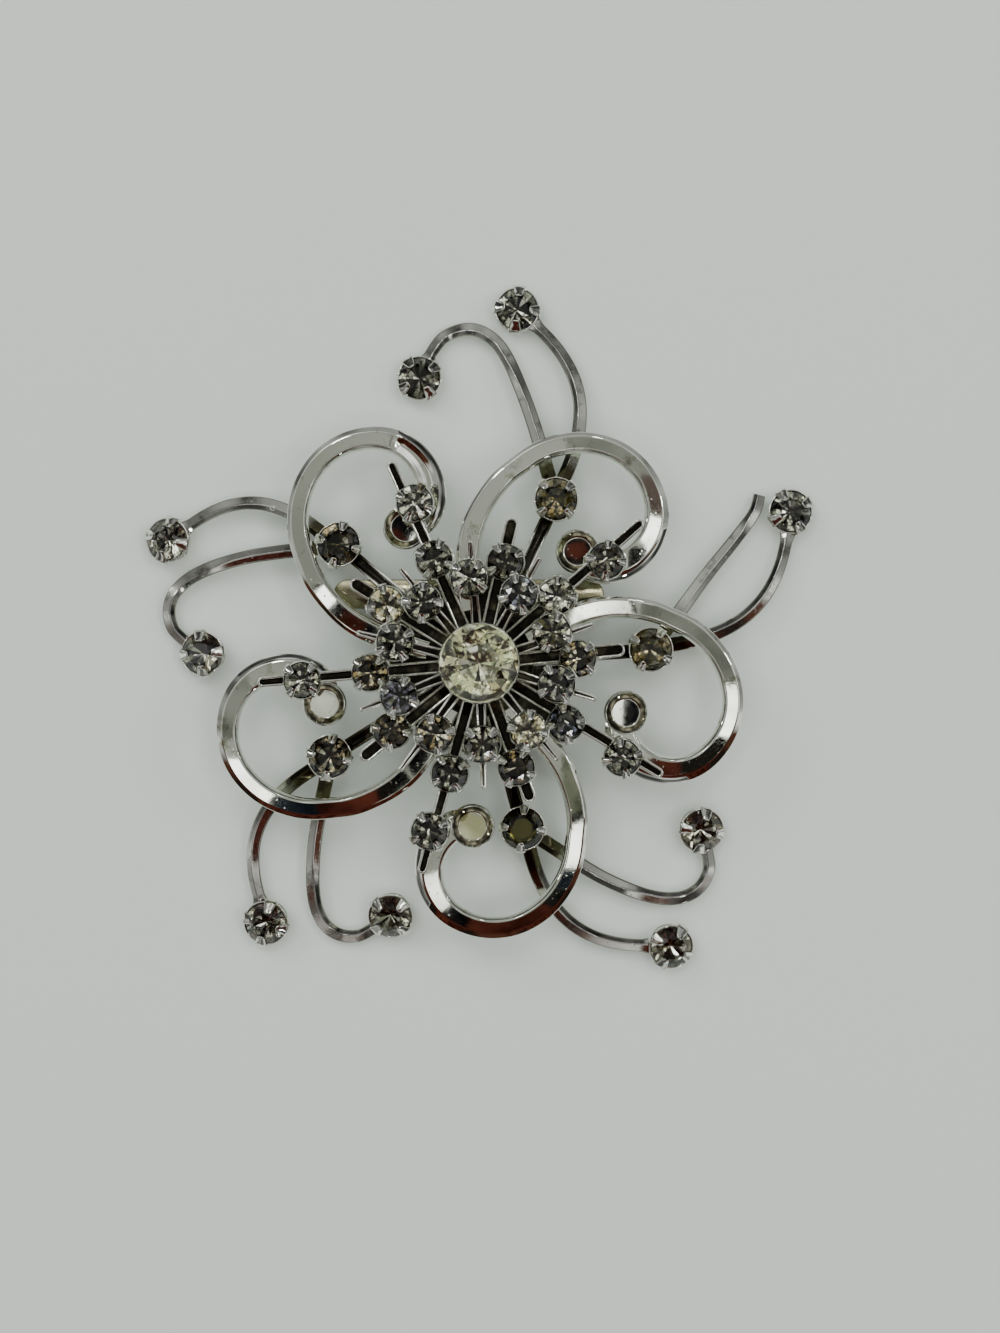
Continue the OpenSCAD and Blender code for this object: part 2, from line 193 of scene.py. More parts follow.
def addRamp(tree, source, rows):
    # rows of a position and a colour, or a shade of grey
    ramp = addNode(tree, "ShaderNodeValToRGB", source)
    while len(ramp.color_ramp.elements) < len(rows):
        ramp.color_ramp.elements.new(0.5)
    for element, (position, color) in zip(ramp.color_ramp.elements, rows):
        element.position = position
        element.color = (*(color if isinstance(color, tuple) else (color,) * 3), 1)
    return ramp.outputs["Color"]


def blend(tree, factor, a, b, kind="MIX"):
    node = addNode(tree, "ShaderNodeMix", data_type="RGBA", blend_type=kind)
    for key, value in (("Factor", factor), ("A", a), ("B", b)):
        feed(tree, node.inputs[key], (*value, 1) if isinstance(value, tuple) else value)
    return node.outputs["Result"]


def newSkin(name, values):
    skin = bpy.data.materials.new(name)
    skin.use_nodes = True
    shader = skin.node_tree.nodes["Principled BSDF"]
    for key, value in values.items():
        shader.inputs[key].default_value = value
    return skin, skin.node_tree, shader


def objectPlace(tree):
    return addNode(tree, "ShaderNodeTexCoord").outputs["Object"]


# finishes of metal: clean and tarnished colour, share of tarnish, least and most roughness,
# depth of waves and of pits, and dark spots, stained spots on the petals and painted shade on the wires round
# the forks: x, y and height in millimetres, and size

finish = {
    "silver": {"base": (0.78, 0.79, 0.72), "tarnish": (0.34, 0.30, 0.19), "share": 0.30,
               "rough": (0.05, 0.15), "wave": 0.05, "pits": 0.35},
    "polished": {"base": (0.79, 0.81, 0.73), "tarnish": (0.22, 0.20, 0.10), "share": 0.10,
                 "rough": (0.015, 0.035), "wave": 0.010, "pits": 0.04,
                 "stainsAndShade": [(-8.3, 20.0, 6.9, 0.4), (11.6, 3.0, 6.9, 0.5), (14.8, 4.1, 6.9, 0.3),
                            (-4.4, -21.0, 6.9, 0.7), (-2.2, -19.9, 6.6, 1.0), (-0.2, -23.6, 6.6, 0.5),
                            (-14.6, -9.6, 6.7, 0.7)]},
    "bowl": {"base": (0.42, 0.40, 0.27), "tarnish": (0.10, 0.095, 0.046), "share": 0.6,
             "rough": (0.03, 0.10), "wave": 0.06, "pits": 0.1},
    # dark: painted shade, for channel floors, hub tops, the plate's top and the stems' grooves
    "dark": {"base": (0.020, 0.018, 0.014), "tarnish": (0.18, 0.17, 0.11), "share": 0.38,
             "rough": (0.10, 0.28), "wave": 0.05, "pits": 0.3},
    # side: the wires' upright sides, painted darker as the shade along their edges
    "side": {"base": (0.26, 0.25, 0.19), "tarnish": (0.09, 0.082, 0.045), "share": 0.4,
             "rough": (0.08, 0.22), "wave": 0.05, "pits": 0.3},
    # back: rougher, darker plating for the plate's sides and the pin
    "back": {"base": (0.24, 0.225, 0.14), "tarnish": (0.10, 0.09, 0.042), "share": 0.6,
             "rough": (0.10, 0.22), "wave": 0.05, "pits": 0.12},
    # wire: its tarnish colour also paints the shade on the wires round the forks, under the petals
    "wire": {"base": (0.77, 0.78, 0.71), "tarnish": (0.080, 0.074, 0.042), "share": 0.24,
             "rough": (0.05, 0.15), "wave": 0.03, "pits": 0.35,
             "stainsAndShade": [(-15.2, 9.0, 3.4, 4.8), (8.4, 13.9, 3.4, 5.2), (18.6, -2.4, 3.4, 5.4),
                        (4.7, -21.8, 3.4, 6.4), (-16.2, -14.1, 3.4, 6.6)]}}
# how many clouds, specks and pits to the metre, the part of their texture that is used, depths in metres
grain = {"clouds": 420, "specks": 2600, "pits": 1500, "speckSpread": (0.3, 0.75), "pitSpread": (0.0, 0.16),
         "raggedEdge": 0.0016, "waveDepth": 0.0001, "pitDepth": 0.00002}
# share to which the colour dims in places, and places to the metre
glass = {"ior": 1.56, "dim": 0.86, "clouds": 900}
foil = {"rough": 0.09, "dim": 0.75, "clouds": 1100}


def plating(name, look):
    # bright plating with a cloudy tarnish, uneven polish and fine pits
    skin, tree, shader = newSkin(name, {"Metallic": 1})
    place = objectPlace(tree)
    cloud = addNoise(tree, place, grain["clouds"], 5, 0.62)
    speck = addNoise(tree, place, grain["specks"], 3, 0.6)
    pits = addNode(tree, "ShaderNodeTexVoronoi", Vector=place, Scale=grain["pits"]).outputs["Distance"]

    cover = addRamp(tree, cloud, [(0.60 - 0.22 * look["share"], 0.0), (0.78 - 0.10 * look["share"], 1.0)])
    # dark spots: stained spots, and on the wires painted shade round the forks
    for x, y, z, size in look.get("stainsAndShade", []):
        away = addNode(tree, "ShaderNodeVectorMath", place, Vector((x, y, z)) * mm, operation="DISTANCE")
        ragged = addNode(tree, "ShaderNodeMath", speck, grain["raggedEdge"], away.outputs["Value"],
                         operation="MULTIPLY_ADD").outputs["Value"]
        # nothing beyond the first distance, full within the second
        near = addRange(tree, ragged, (1.25 * size + 0.8) * mm, (0.75 * size + 0.6) * mm)
        cover = addNode(tree, "ShaderNodeMath", cover, near, operation="MAXIMUM").outputs["Value"]
    tree.links.new(blend(tree, cover, look["base"], look["tarnish"]), shader.inputs["Base Color"])
    tree.links.new(addRange(tree, speck, *grain["speckSpread"], *look["rough"]), shader.inputs["Roughness"])

    wave = addNode(tree, "ShaderNodeBump", Strength=look["wave"], Distance=grain["waveDepth"], Height=cloud)
    dent = addNode(tree, "ShaderNodeBump", Strength=look["pits"], Distance=grain["pitDepth"],
                   Height=addRange(tree, pits, *grain["pitSpread"]), Normal=wave.outputs["Normal"])
    tree.links.new(dent.outputs["Normal"], shader.inputs["Normal"])
    return skin


def clouded(name, values, tone, look):
    # one colour that dims in places
    skin, tree, shader = newSkin(name, values)
    cloud = addNoise(tree, objectPlace(tree), look["clouds"], 2)
    dimmed = tuple(look["dim"] * c for c in tone)
    tree.links.new(blend(tree, cloud, tone, dimmed), shader.inputs["Base Color"])
    return skin


def cutGlass(name, tint):
    return clouded(name, {"Transmission Weight": 1, "Roughness": 0.0, "IOR": glass["ior"]}, tint, glass)


def backing(name, tone):
    # mirrored back of a facet, seen through the glass; its tone is a painted reflection, from black to white
    return clouded(name, {"Metallic": 1, "Roughness": foil["rough"]}, tone, foil)


silver = plating("bright silver plating", finish["silver"])
polished = plating("mirror polished plating", finish["polished"])
bowlWall = plating("tarnished dish wall", finish["bowl"])
# painted shade: dark metal where the brooch lies in shade
dark = plating("dark metal painted as shade", finish["dark"])
# painted shade: the wires darken round the forks
wirePlating = plating("wire plating with painted shade at the forks", finish["wire"])
# painted shade: the darker plating on the wires' sides
shadedWireSide = plating("wire side painted darker as shade", finish["side"])
backMetal = plating("darker back plating", finish["back"])

# tones painted behind the facets: the foil's own colour, with black, grey and white painted reflections and blue
# and violet painted flashes of colour
foilColourAndPaintedLight = {
    "black": (0.012, 0.012, 0.009), "brown": (0.075, 0.065, 0.042), "grey": (0.19, 0.19, 0.155),
    "steel": (0.36, 0.37, 0.34), "pale": (0.62, 0.625, 0.54), "white": (0.98, 0.99, 0.92),
    "lime": (0.60, 0.63, 0.48), "straw": (0.60, 0.575, 0.43), "gold": (0.50, 0.44, 0.31),
    "olive": (0.115, 0.11, 0.036), "blue": (0.30, 0.32, 0.38), "violet": (0.33, 0.32, 0.40),
    "moss": (0.036, 0.035, 0.012)}
foilOrder = list(foilColourAndPaintedLight)
foils = [backing(name + " foil", tone) for name, tone in foilColourAndPaintedLight.items()]

# tint of the glass, then the tones painted behind the facets as reflections, by turns: dark ones, light ones
stoneLooks = {
    "smoky": ((0.88, 0.86, 0.74), "black black brown grey", "grey pale olive steel white"),
    "bright": ((0.97, 0.965, 0.90), "black brown grey", "white white pale steel white"),
    "clear": ((0.96, 0.955, 0.88), "black black grey", "white pale steel grey"),
    "dim": ((0.90, 0.88, 0.76), "black black brown", "grey pale brown steel"),
    "blue": ((0.93, 0.93, 0.90), "black black grey", "blue steel white violet"),
    "straw": ((0.98, 0.96, 0.84), "brown grey straw", "straw white white pale"),
    "olive": ((0.86, 0.85, 0.56), "black black brown", "black brown olive grey"),
    "amber": ((0.94, 0.89, 0.72), "black brown", "gold pale brown white"),
    "honey": ((0.93, 0.90, 0.76), "brown olive grey", "olive straw grey gold"),
    "cognac": ((0.93, 0.89, 0.76), "black brown black black", "white gold brown pale brown"),
    "ice": ((0.97, 0.965, 0.90), "brown grey black steel", "white white pale"),
    "centre": ((0.97, 0.98, 0.87), "grey steel lime straw", "white lime pale straw")}
glasses = {kind: cutGlass(kind + " stone", look[0]) for kind, look in stoneLooks.items()}
print("finishes ready")


# cups and stones

cup = {
    "wall": 0.22, "gap": 0.06, "culet": 0.45, "pavilion": 0.72, "girdle": 0.12, "foot": 0.8, "sides": 40,
    "prongWidth": 1.35, "prongSection": ((-1, -1), (1, -1), (1, 0.3), (0.88, 1), (-0.88, 1), (-1, 0.3)),
    "rim": (0.40, 0.15), "endRim": (0.14, 0.05)}  # depth and width of the bevel that thins the rim
# height of the crown, radius of the table and of the points between it and the girdle, as shares;
# rings of points under the girdle: radius, and how far the facets bulge
cut = {"crown": 0.38, "table": 0.55, "star": 0.78, "bands": ((0.58, 0.035),), "flatBands": ((0.50, 0.0),)}
stoneRadius = {"centre": 4.05, "ring": 1.85, "end": 2.2}


def girdleHeight(r):
    return cup["culet"] + cup["pavilion"] * r


def footRadius(r):
    return cup["foot"] * (r + cup["wall"])


def addCup(shape, r, place, prongs=4, slim=1.0):
    top = girdleHeight(r) + (0 if prongs else cup["girdle"] + 0.08)
    foot = footRadius(r)
    inner = r + cup["gap"]
    rim = inner + cup["wall"]
    lip, crest = cup["endRim"] if r == stoneRadius["end"] else cup["rim"]
    addLathe(shape, [
        (0.01, 0.0), (foot - 0.12, 0.0), (foot - 0.03, 0.04), (foot, 0.12),
        (mix(foot, rim, 0.5) + 0.02, top * 0.5), (rim - 0.02, top - lip), (rim - crest - 0.01, top - 0.02),
        (rim - crest - 0.03, top), (inner + 0.03, top), (inner, top - 0.05),
        (r * 0.5, cup["culet"] - 0.1), (0.01, cup["culet"] - 0.1)], cup["sides"], 0, place)
    # solder seam round the foot
    addLathe(shape, [(foot - 0.2, 0.01), (foot + 0.12, 0.04), (foot + 0.09, 0.11),
                     (foot, 0.2), (foot - 0.2, 0.2)], cup["sides"], 0, place)
    g = girdleHeight(r) + cup["girdle"]
    share, reach = (0.72, 0.65) if r == stoneRadius["ring"] else (slim, 0.85 * slim)
    width = cup["prongWidth"] * share
    lean = cut["crown"] / (1 - cut["table"])
    # a flat claw: radius, height, share of its width, thickness, from the wall to its tip on the crown
    claw = [(r + 0.30, g - 0.65, 0.92, 0.14), (r + 0.34, g - 0.35, 1.0, 0.18), (r + 0.35, g - 0.05, 1.0, 0.18),
            (r + 0.27, g + 0.10, 1.0, 0.16), (r + 0.12, g + 0.20, 0.93, 0.14),
            (r - 0.5 * reach, g + 0.5 * lean * reach + 0.14, 0.70, 0.12),
            (r - 0.9 * reach, g + 0.9 * lean * reach + 0.13, 0.50, 0.10),
            (r - reach, g + lean * reach + 0.11, 0.38, 0.05)]
    for quarter in range(prongs):
        rings = []
        for i, (radius, height, wide, thick) in enumerate(claw):
            a, b = claw[max(i - 1, 0)], claw[min(i + 1, len(claw) - 1)]
            along = Vector((b[0] - a[0], 0, b[1] - a[1])).normalized()
            out = Vector((along.z, 0, -along.x))
            rings.append([Vector((radius, 0, height)) + out * thick / 2 * v
                          + Vector((0, width * wide / 2 * u, 0)) for u, v in cup["prongSection"]])
        addRings(shape, rings, 0, place @ rotation("Z", 90 * quarter))


def addStone(name, r, place, kind, folds=8, bands=cut["bands"], order=0.85, wobble=0):
    # brilliant cut: table, stars, kites and halves over the girdle, mains and halves under it
    # order is the share of facets that keep to the turns of painted dark and light reflections
    random.seed(name)
    shape = newShape()
    g = girdleHeight(r)
    high = cut["crown"] * r
    kite = g + cup["girdle"] + high * (1 - cut["star"] * math.cos(math.pi / folds)) / (1 - cut["table"])
    spin = place @ rotation("Z", random.uniform(-15, 15))

    def ring(count, turn, radius, height):
        return [polar(radius, 360 * k / count + turn) + up(height) for k in range(count)]

    double = 2 * folds
    crown = ring(double, 0, r, g) + ring(double, 0, r, g + cup["girdle"]) \
        + ring(folds, 180 / folds, cut["star"] * r, kite) \
        + ring(folds, 0, cut["table"] * r, g + cup["girdle"] + high)
    star, table = 2 * double, 2 * double + folds
    faces = [[k, (k + 1) % double, double + (k + 1) % double, double + k] for k in range(double)]
    for k in range(folds):
        n, p = (k + 1) % folds, (k - 1) % folds
        edge = [double + 2 * k, double + 2 * k + 1, double + 2 * n]
        faces += [[edge[0], edge[1], star + k], [edge[1], edge[2], star + k],
                  [table + k, star + k, table + n], [edge[0], star + k, table + k, star + p]]
    faces.append([table + k for k in range(folds)])
    addSkin(shape, crown, faces, 0, spin)

    base, faces, tones, last = ring(double, 0, r, g), [], [], 0
    dim, bright = (row.split() for row in stoneLooks[kind][1:])
    for share, bulge in bands:
        level = ring(double, 0, share * r, cup["culet"] + cup["pavilion"] * r * share - bulge * r)
        for point in level if wobble else []:
            point.xy *= 1 + random.uniform(-wobble, wobble)
        base += level
        for k in range(double):
            n = (k + 1) % double
            faces.append([last + k, last + double + k, last + double + n, last + n])
        last += double
    if kind == "olive":  # flat underneath
        faces.append([last + k for k in range(double)])
    else:
        base.append(up(cup["culet"]))
        faces += [[last + k, last + double, last + (k + 1) % double] for k in range(double)]
    # each facet under the girdle gets a painted reflection, dark and light tones by turns
    for k in range(len(faces)):
        light = k % 2 == 0 if random.random() < order else random.random() < 0.5
        tones.append(random.choice(bright if light else dim))
    if kind == "olive":  # its back, seen through the table, gets the dark moss tone, a painted dark reflection
        tones[-1] = "moss"
    addSkin(shape, base, faces, [1 + foilOrder.index(tone) for tone in tones], spin)
    addPiece(shape, name + "_cut", [glasses[kind], *foils], [name], flat=True)


# the two stars; each ray has distance and angle of its first stone, of its tip, and of a second stone if any

upperStar = {
    "height": 9.2, "hubRadius": 4.2, "hubThickness": 0.6, "start": 2.6, "width": 1.2, "tip": 0.6,
    "thickness": 0.7, "slope": 8, "wall": 0.25, "floor": 0.25, "postRadius": 2.4,
    "rays": [(9.1, 97, 13.2, 94.5), (8.4, 60, 13.1, 60), (8.4, 23, 13.0, 18.5), (8.5, -15, 13.2, -17),
             (8.8, -54, 13.4, -51), (8.6, -88, 13.5, -88), (8.9, -122, 14.4, -126.5),
             (9.2, -157.5, 13.8, -158.5), (9.2, 166, 13.6, 166), (8.8, 133, 13.3, 130)]}
lowerStar = {
    "height": 6.95, "hubRadius": 5.8, "hubThickness": 0.65, "start": 3.2, "width": 1.5, "tip": 1.5,
    "longTip": 1.1, "thickness": 0.9, "slope": 3.3, "wall": 0.25, "floor": 0.25,
    "rays": [(12.1, 113.5, 23.6, 114, 18.4, 112), (11.1, 75.5, 16.0, 77), (10.9, 41, 23.2, 41, 17.4, 39),
             (10.5, 2.5, 15.7, 5.5), (11.2, -35, 23.0, -31.5, 18.3, -33.5), (11.8, -70.5, 15.9, -69.5),
             (12.2, -105, 23.4, -105.5, 18.7, -106.5), (11.8, -142.5, 16.4, -141),
             (11.7, -175, 23.9, -175, 19.0, -174.5), (11.7, 148, 16.4, 147.5)]}


def seatPlace(star, distance, angle):
    rise = (distance - star["start"]) * math.tan(math.radians(star["slope"]))
    return shift(polar(distance, angle) + up(star["height"] + rise + star["floor"])) @ rotation("Z", angle + 45)


def addRay(shape, star, row):
    # a channel: rounded rim, steep inner walls and a floor painted dark as shade
    wide, t, wall, floor = star["width"], star["thickness"], star["wall"], star["floor"]
    tip = star["longTip"] if len(row) == 6 else star["tip"]
    outline, heart = roundEnds(Vector((wide / 2, 0, 0)), Vector((row[2] - star["start"] - tip / 2, 0, 0)),
                               wide / 2, tip / 2, 11)
    # distance in from the outline, height
    steps = [(0.10, 0), (0.0, 0.10), (0.0, t - 0.10), (0.03, t - 0.03), (0.08, t), (0.21, t), (0.26, t - 0.04),
             (0.29, t - 0.12), (wall + 0.07, t - 0.3), (wall + 0.10, floor + 0.10), (wall + 0.16, floor)]
    # from this step down to its floor the channel is painted dark as shade
    darkFrom = 8
    rings = []
    for inset, height in steps:
        ring = []
        for edge, mid in zip(outline, heart):
            away = edge - mid
            full = away.length
            ring.append(mid + away * max(full - inset, 0.12 * full) / full + up(height))
        rings.append(ring)
    place = shift(up(star["height"])) @ rotation("Z", row[3]) \
        @ shift((star["start"], 0, 0)) @ rotation("Y", -star["slope"])
    addRings(shape, rings[:darkFrom + 1], 0, place, capped=False)
    addRings(shape, rings[darkFrom:], 1, place, capped=False)
    addCap(shape, rings[0], 0, place, first=True)
    addCap(shape, rings[-1], 1, place)


def buildStar(star, name, spacer):
    # spacer: height from which a post carries the star, or 0
    shape = newShape()
    z, r, t = star["height"], star["hubRadius"], star["hubThickness"]
    profile = [(0.01, z), (r - 0.1, z), (r, z + 0.1), (r, z + t - 0.12), (r - 0.12, z + t), (0.01, z + t)]
    if spacer:
        post = star["postRadius"]
        profile = [(0.01, spacer), (post - 0.1, spacer), (post, spacer + 0.1), (post, z)] + profile[1:]
    addLathe(shape, profile[:-2], 72)
    # the top of the hub is painted dark as shade
    addLathe(shape, profile[-3:], 72, 1)
    for row in star["rays"]:
        addRay(shape, star, row)
        addCup(shape, stoneRadius["ring"], seatPlace(star, row[0], row[1]))
        if len(row) == 6:
            addCup(shape, stoneRadius["ring"], seatPlace(star, row[4], row[5]))
    addPiece(shape, name + "_rays", [silver, dark], [name], sharp=50)


buildStar(lowerStar, "lower_star", 0)
buildStar(upperStar, "upper_star", lowerStar["height"] + lowerStar["hubThickness"] + 0.05)
print("stars built")


# centre cup on its post

centre = {"seat": 9.85, "lift": 1.4, "post": 2.2, "turn": 35,
          "folds": 10, "bands": ((0.76, 0.015), (0.45, 0.030)), "order": 0.2, "wobble": 0.09}
shape = newShape()
seat, top, post = centre["seat"], centre["seat"] + centre["lift"], centre["post"]
addLathe(shape, [(0.01, seat), (post + 0.5, seat), (post + 0.4, seat + 0.2), (post, seat + 0.5),
                 (post, top + 0.05), (0.01, top + 0.05)], 48)
centrePlace = shift(up(top)) @ rotation("Z", centre["turn"])
addCup(shape, stoneRadius["centre"], centrePlace, prongs=0)
addPiece(shape, "centre_setting", [silver], ["centre_cup"])


# petals: a ribbon that loops round and ends in a dish

petal = {
    "underside": 5.8, "thickness": 1.1, "innerBevel": 0.42, "bevelSlopes": (20, 25), "scoopFrom": -57,
    # by petal: length of the crease where the scooped part starts, and depth of the scoop
    "creases": (6, 40, 40, 40, 40), "troughs": (0.20, 0, 0, 0, 0),
    # direction of the loop's middle, its distance, its shift to the left
    "places": [(125.5, 20.5, 0.2), (52.5, 19.9, 1.1), (-8.5, 20.3, -0.8), (-80.5, 21.1, -1.5),
               (-159.5, 21.1, 0.4)],
    # angle, inner radius, outer radius, width of the outer bevel, seen from the loop's middle
    "ribbon": [(170, 15.7, 18.4, 0.35), (160, 13.5, 16.3, 0.35), (150, 12.2, 15.0, 0.35),
               (135, 10.6, 13.4, 0.35), (120, 9.2, 11.8, 0.36), (105, 8.1, 10.6, 0.38),
               (90, 7.2, 9.6, 0.40), (60, 6.4, 8.7, 0.42),
               (30, 6.1, 8.4, 0.45), (0, 6.2, 8.5, 0.50), (-30, 6.4, 8.8, 0.56), (-60, 6.5, 9.2, 0.66),
               (-90, 6.0, 9.1, 0.75), (-120, 4.8, 8.5, 0.8), (-140, 3.7, 7.6, 0.75), (-152, 3.0, 6.7, 0.6)],
    "steps": 14, "dishAt": (-3.95, -2.15), "dishRadius": 2.4}


def rimAngle(reach):
    # direction in which a ribbon at this distance from the loop's middle meets the rim of the dish
    bowl, rim = Vector(petal["dishAt"]), petal["dishRadius"] - 0.14
    side = (reach ** 2 + bowl.length_squared - rim ** 2) / (2 * reach * bowl.length)
    return math.degrees(math.atan2(bowl.y, bowl.x) + math.acos(side)) if abs(side) < 1 else -180


def buildPetal(number):
    shape = newShape()
    direction, distance, aside = petal["places"][number - 1]
    crease, trough = petal["creases"][number - 1], petal["troughs"][number - 1]
    place = rotation("Z", direction) @ shift((distance, aside, petal["underside"]))
    t = petal["thickness"]
    rings = []
    for angle, low, high, bevel in smoothRows(petal["ribbon"], petal["steps"]):
        wide = high - low
        scoop = ease((petal["scoopFrom"] - angle) / crease)
        edge = t - (0.04 + (bevel - 0.10) * math.tan(math.radians(mix(*petal["bevelSlopes"], scoop))))
        inner = petal["innerBevel"] * mix(1, 0.8, scoop)
        section = [(0.10, 0), (wide - 0.12, 0), (wide, 0.12), (wide, edge - 0.16), (wide - 0.02, edge - 0.04),
                   (wide - 0.07, edge + 0.02), (wide - bevel + 0.03, t - 0.02), (wide - bevel - 0.03, t)]
        for u in [k / 9 for k in range(1, 9)]:
            hollow = math.sin(math.pi * u) ** 1.2 * (1 + 0.3 * math.sin(2 * math.pi * u))
            section.append((wide - bevel - (wide - bevel - inner) * u, t - scoop * trough * hollow))
        section += [(inner + 0.02, t), (inner - 0.02, t - 0.01), (inner * 0.52, t - 0.12),
                    (inner * 0.44, t - 0.17), (0.03, t - 0.58), (0.0, t - 0.70), (0.0, 0.1)]
        rings.append([polar(low + u, max(angle, rimAngle(low + u))) + up(v) for u, v in section])
    rings.append([Vector((point.x, point.y, 0.05)) for point in rings[-1]])
    addRings(shape, rings, 0, place, capped=False)
    addCap(shape, rings[0], 0, place, first=True)

    # the dish: rolled rim, sloping wall and a level floor
    r, top = petal["dishRadius"], t + 0.12
    rim = [(0.01, 0), (r - 0.15, 0), (r, 0.15)] + [(r - inset, top - drop) for inset, drop in (
        (0, 0.30), (0.05, 0.12), (0.12, 0.03), (0.17, 0), (0.22, 0.03), (0.27, 0.07))]
    wall = [rim[-1]] + [(r - inset, top - drop) for inset, drop in (
        (0.31, 0.10), (0.42, 0.163), (0.55, 0.233), (0.68, 0.299), (0.82, 0.366), (0.87, 0.384))]
    floor = [wall[-1], (r - 0.92, top - 0.388), (r - 0.97, top - 0.388), (0.01, top - 0.388)]
    for part, skin in ((rim, 0), (wall, 1), (floor, 0)):
        addLathe(shape, part, 64, skin, place @ shift((*petal["dishAt"], 0)))
    # no edge along the bevel crosses this limit from sharp to smooth
    addPiece(shape, f"petal_{number}_ribbon", [polished, bowlWall], [f"petal_{number}"],
             sharp=29.5)


for number in range(1, 6):
    buildPetal(number)
print("petals built")


# sprays: stem, fork cup, two wires and their cups

spray = {
    "stemWidth": 1.5, "stemThickness": 0.8, "stemHeight": 5.35, "plateRadius": 9.8, "bossRadius": 3.0,
    "channel": [(-0.9, -1), (0.9, -1), (1, -0.8), (1, 0.9), (0.96, 1), (0.70, 1), (0.62, 0.8), (0.50, 0.0),
                (0.42, -0.1), (-0.42, -0.1), (-0.50, 0.0), (-0.62, 0.8), (-0.70, 1), (-0.96, 1), (-1, 0.9),
                (-1, -0.8)],
    "forkHeight": 2.6,
    "wireAtFork": 3.35, "wireAtEnd": 1.45, "wireWidths": (1.6, 1.45, 1.3), "wireThickness": 1.0,
    # share of the broad facet outside the bend at the fork and at the end, and where the wire twists
    "ridge": {"bowed": (1, 1, 0.5), "curled": (0.4, 1, 0.40), "snapped": (0.3, 1, 0.68)},
    "ownRidge": {(5, "bowed"): (0, 0), (4, "curled"): (0.1, 1)},
    # distance and angle of the fork, of the bowed wire's end and of the curled wire's,
    # turn of the fork's prongs, spread of the bow and of the curl
    "places": [((20.0, 140), (36.4, 158.5), (30.1, 178), 75, 1, 1),
               ((19.6, 65), (38.8, 84), (31.8, 102), 42, 0.94, 1.09),
               ((18.6, 4.5), (37.7, 26), (35.7, 31), 60, 0.94, 1),
               ((18.5, -75.5), (37.1, -56), (30.1, -37), 85, 1, 1),
               ((19.2, -148), (36.5, -129.5), (29.0, -109.5), 80, 1, 1.03)],
    "broken": 3,
    # spray, wire (1 bowed, 2 curled), outward tilt and turn of each end cup
    "ends": [(1, 1, 14, 75), (1, 2, 12, 95), (2, 1, 3, 84), (2, 2, 2, 34), (3, 1, 4, 28),
             (4, 1, 12, 60), (4, 2, 12, 80), (5, 1, 12, 75), (5, 2, 14, 45)],
    # courses along and beside the line from fork to end
    "bowed": [(0.085, -0.055), (0.20, -0.135), (0.32, -0.195), (0.44, -0.23), (0.56, -0.235), (0.68, -0.21),
              (0.80, -0.155), (0.925, -0.07)],
    "curled": [(0.085, -0.05), (0.20, -0.125), (0.32, -0.20), (0.44, -0.27), (0.57, -0.33), (0.70, -0.375),
               (0.82, -0.395), (0.93, -0.38), (1.01, -0.325), (1.055, -0.235), (1.05, -0.15), (1.035, -0.095)],
    "snapped": [(0.08, -0.005), (0.28, -0.01), (0.50, -0.015), (0.75, -0.03), (0.91, -0.03), (1, 0)],
    "blister": {"spray": 1, "at": (-22.5, 16.9, 3.0), "turn": 10, "squash": 0.7,
                "profile": [(0.01, -0.3), (0.34, -0.3), (0.42, 0.0), (0.36, 0.16), (0.2, 0.27), (0.01, 0.30)]}}


def forkPlace(number):
    fork, turn = spray["places"][number - 1][0], spray["places"][number - 1][3]
    return shift(polar(*fork) + up(spray["forkHeight"])) @ rotation("Z", turn)


def endPlace(k):
    # tilted outward about its foot
    number, wire, tilt, turn = spray["ends"][k - 1]
    reach, out = spray["places"][number - 1][wire]
    foot = footRadius(stoneRadius["end"])
    lean = girdleHeight(stoneRadius["end"]) * math.sin(math.radians(tilt)) / 2
    return shift(polar(reach, out)) @ rotation("Z", out) @ shift((foot - lean, 0, 0)) \
        @ rotation("Y", tilt) @ shift((-foot, 0, 0)) @ rotation("Z", turn - out)


def wireSection(broad):
    # bevelled wire with a ridge; the broad facet lies outside the bend at 1 and inside it at 0
    ridge = mix(-0.26, 0.26, broad)
    rise = mix(0.41, 0.36, broad)
    fall = mix(0.36, 0.41, broad)
    right, left, top = (0.91, fall), (-0.91, rise), 0.93

    def along(side, end, share):
        return mix(side[0], end, share), mix(side[1], top, share)

    return [(-0.88, -1), (0.88, -1), (1, -0.85), (1, fall - 0.16), right, along(right, ridge + 0.08, 0.12),
            along(right, ridge + 0.08, 0.88), (ridge + 0.08, top), (ridge + 0.03, 0.985), (ridge - 0.03, 0.985),
            (ridge - 0.08, top), along(left, ridge - 0.08, 0.92), along(left, ridge - 0.08, 0.08), left,
            (-1, rise - 0.16), (-1, -0.85)]


def addWire(shape, path, broad, cupEnd):
    # skins: 1 the dark metal of a broken end, 2 the wire's top, 3 its sides, painted darker as shade
    rings = []
    last = len(path) - 1
    thick = spray["wireThickness"]
    widths = smoothRows([[width] for width in spray["wireWidths"]], 50)
    for i, point in enumerate(path):
        a, b = path[max(i - 1, 0)], path[min(i + 1, last)]
        along = Vector((b[0] - a[0], b[1] - a[1], 0)).normalized()
        left = Vector((-along.y, along.x, 0))
        t = i / last
        wide = widths[round(100 * t)][0]
        wide *= 1 + (0.35 * ease((t - 0.93) / 0.07) if cupEnd else 0)  # flattened where it meets its cup
        rings.append([point + left * (u * wide / 2) + up(v * thick / 2) for u, v in wireSection(broad(t))])
    # the wires' sides take the darker plating, painted shade
    addRings(shape, rings, lambda j: 3 if j in (2, 3, 13, 14) else 2, capped=False)
    addCap(shape, rings[0], 2, first=True)
    addCap(shape, rings[-1], 2 if cupEnd else 1)


